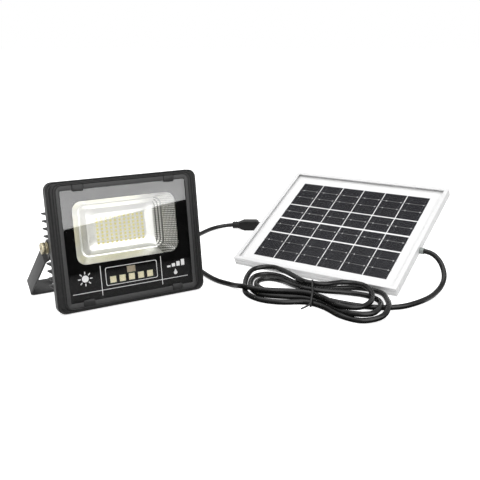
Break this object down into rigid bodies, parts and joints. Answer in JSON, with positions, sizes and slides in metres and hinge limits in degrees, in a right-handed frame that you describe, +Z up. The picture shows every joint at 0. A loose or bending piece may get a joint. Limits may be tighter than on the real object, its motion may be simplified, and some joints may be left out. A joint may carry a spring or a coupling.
{
  "type": "solar flood light",
  "caption": "Rectangular solar flood light on a tilting U bracket, with a framed tilting solar panel and a coiled plug-in lead between them.",
  "frame": {"origin": "on the surface that the lamp and the panel stand on, under the middle of their common box without the free lead", "axes": "+X to the right from the lamp to the panel, +Y away from the viewer towards the panel's far edge, +Z up; lamp and panel both face -Y and to the left"},
  "size_m": [0.5994, 0.467, 0.162],
  "materials": {
    "black_paint": "satin powder coat",
    "lamp_glass": "clear tempered",
    "black_print": "black screen print behind glass",
    "seal_rubber": "satin",
    "clip_metal": "satin",
    "bright_reflector": "bright anodised",
    "white_board": "white solder mask",
    "phosphor": "yellow phosphor",
    "green_board": "solder mask",
    "cream_lens": "diffusing",
    "receiver_resin": "moulded",
    "cell_sleeve": "shrink sleeve",
    "black_nylon": "moulded",
    "zinc_screw": "zinc plated",
    "soft_rubber": "moulded",
    "lead_jacket": "glossy sheath",
    "plug_body": "moulded",
    "brass_pin": "plated",
    "passivated_steel": "yellow passivated",
    "bracket_paint": "satin powder coat",
    "stand_steel": "zinc plated",
    "stand_fastener": "zinc plated",
    "anodised_frame": "satin anodised",
    "cast_corner": "stamped",
    "panel_pane": "clear tempered",
    "tinned_ribbon": "tinned",
    "silicon": "coated silicon",
    "white_sheet": "satin",
    "grey_grommet": "moulded"
  },
  "bodies": {
    "root": {"lamp_bracket": "bracket_paint", "lamp_lead": "lead_jacket", "lead_plug": "plug_body", "plug_pins": "brass_pin", "lead_socket": "plug_body", "panel_lead_tail": "lead_jacket", "lead_hank": "lead_jacket", "hank_tie": "soft_rubber", "panel_lead_loop": "lead_jacket", "stand_foot": "stand_steel", "stand_bolt": "stand_fastener", "stand_washers": "stand_fastener", "stand_wing_nut": "stand_fastener"},
    "head": {"front_bezel": "black_paint", "glass_seal": "seal_rubber", "front_glass": "lamp_glass", "glass_print": "black_print", "glass_clips": "clip_metal", "reflector": "bright_reflector", "led_board": "white_board", "led_chips": "phosphor", "control_board": "green_board", "charge_indicators": "cream_lens", "remote_receiver": "receiver_resin", "battery_cells": "cell_sleeve", "battery_tray": "black_nylon", "rear_housing": "black_paint", "bezel_screws": "zinc_screw", "breather_vent": "black_nylon", "lamp_gland": "black_nylon", "lamp_strain_relief": "soft_rubber", "lamp_lead_stub": "lead_jacket", "pivot_bolts": "passivated_steel", "spring_washers": "passivated_steel", "flat_washers": "passivated_steel"},
    "panel": {"rail_near": "anodised_frame", "rail_far": "anodised_frame", "rail_left": "anodised_frame", "rail_right": "anodised_frame", "corner_keys": "cast_corner", "panel_glass": "panel_pane", "cell_ribbons": "tinned_ribbon", "solar_cells": "silicon", "panel_backsheet": "white_sheet", "junction_box": "black_nylon", "junction_box_lid": "black_nylon", "junction_box_screws": "zinc_screw", "exit_grommet": "grey_grommet", "panel_lead_stub": "lead_jacket", "panel_bracket": "stand_steel", "panel_bracket_screws": "zinc_screw"}
  },
  "joints": [
    {"name": "head_tilt", "type": "hinge", "parent": "root", "child": "head", "pos_m": [-0.17023, -0.10152, 0.0776], "axis": [0.8599, 0.5105, 0], "range_deg": [-41, 60]},
    {"name": "panel_tilt", "type": "hinge", "parent": "root", "child": "panel", "pos_m": [0.14394, 0.0427, 0.03734], "axis": [0.8281, -0.5606, 0], "range_deg": [-28, 0]}
  ]
}
